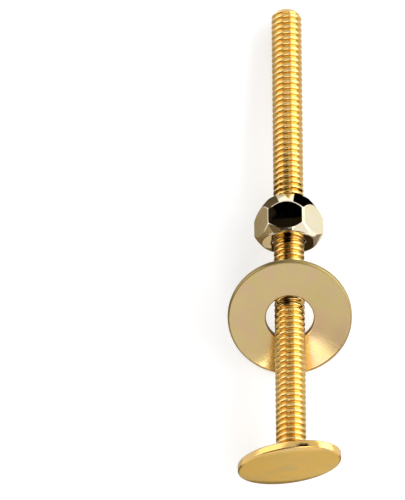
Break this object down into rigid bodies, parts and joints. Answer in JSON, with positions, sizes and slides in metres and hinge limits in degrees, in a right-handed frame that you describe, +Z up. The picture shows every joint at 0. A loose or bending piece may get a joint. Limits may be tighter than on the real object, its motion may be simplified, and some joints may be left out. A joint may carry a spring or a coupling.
{
  "type": "toilet bolt",
  "caption": "Brass closet bolt with a flat oval head and a threaded shank, carrying a loose flat washer and an open domed hexagon nut; holds a toilet to its floor flange.",
  "frame": {"origin": "on the table the bolt lies on, under the middle of the whole part", "axes": "+Z up, +Y along the bolt as it lies, towards its tip, which hangs a little; +X to the right seen from the head"},
  "size_m": [0.0258, 0.1044, 0.0219],
  "materials": {
    "bolt_brass": "bright yellow brass, rolled thread and pressed head",
    "washer_plating": "satin pale brass plating with a faint iridescent haze",
    "nut_plating": "bright pale nickel-brass plating"
  },
  "bodies": {
    "bolt": {"bolt": "bolt_brass"},
    "washer": {"washer": "washer_plating"},
    "nut": {"domed_nut": "nut_plating"}
  },
  "joints": [
    {"name": "washer_travel", "type": "slide", "parent": "bolt", "child": "washer", "axis": [0, 0.9961, -0.088], "range_m": [-0.0216, 0.042]},
    {"name": "nut_turn", "type": "hinge", "parent": "washer", "child": "nut", "pos_m": [0, -0.00064, 0.00771], "axis": [0, 0.9961, -0.088], "range_deg": [-6120, 11880]}
  ],
  "couplings": [
    {"joint": "washer_travel", "follows": "nut_turn", "m_per_rad": 0.00020213}
  ]
}
